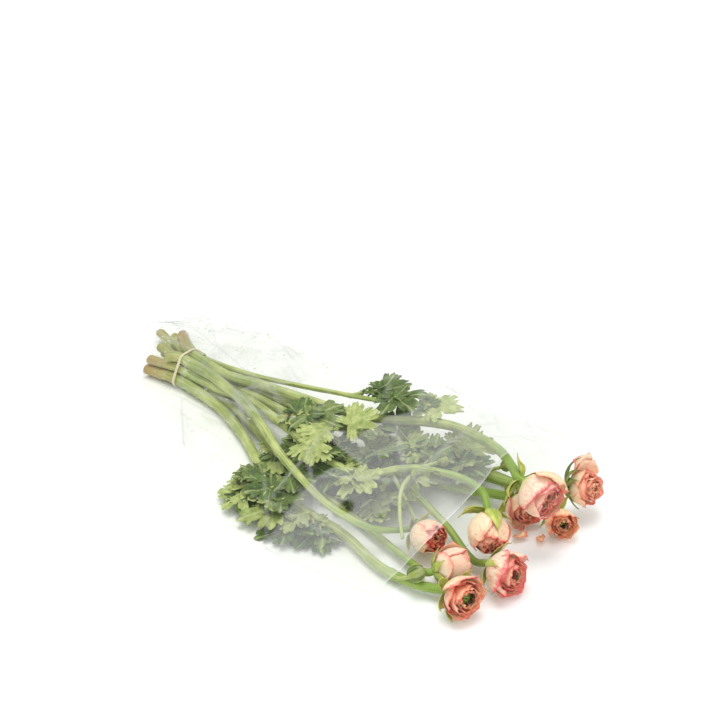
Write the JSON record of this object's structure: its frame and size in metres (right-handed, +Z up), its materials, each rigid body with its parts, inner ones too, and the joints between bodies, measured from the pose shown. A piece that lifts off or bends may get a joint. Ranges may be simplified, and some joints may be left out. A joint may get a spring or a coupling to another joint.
{
  "type": "tied ranunculus bunch in a clear sleeve",
  "caption": "Bunch of cut ranunculus lying on its side: arching stems with globe-shaped blooms, buds and lobed leaves, banded near the cut ends, in a tapered clear film sleeve.",
  "frame": {"origin": "centre of the bounding box in plan, on the surface it lies on", "axes": "+X from the cut stem ends to the blooms, +Z up, +Y to the bunch's left seen from the cut ends"},
  "size_m": [0.509, 0.296, 0.0783],
  "materials": {
    "green": "fresh matte stems, sepals and leaves",
    "petals": "soft matte petals, cream to coral pink",
    "band": "pale natural rubber",
    "film": "thin clear polypropylene film, partly milky"
  },
  "bodies": {
    "root": {"flower_1_stem": "green", "flower_2_stem": "green", "flower_3_stem": "green", "flower_4_stem": "green", "flower_5_stem": "green", "flower_6_stem": "green", "flower_7_stem": "green", "flower_8_stem": "green", "flower_9_stem": "green", "side_shoot": "green", "flower_1_petals": "petals", "flower_2_petals": "petals", "flower_3_petals": "petals", "flower_4_petals": "petals", "flower_5_petals": "petals", "flower_6_petals": "petals", "flower_7_petals": "petals", "flower_8_petals": "petals", "flower_9_petals": "petals", "band": "band", "sleeve": "film"}
  },
  "joints": []
}
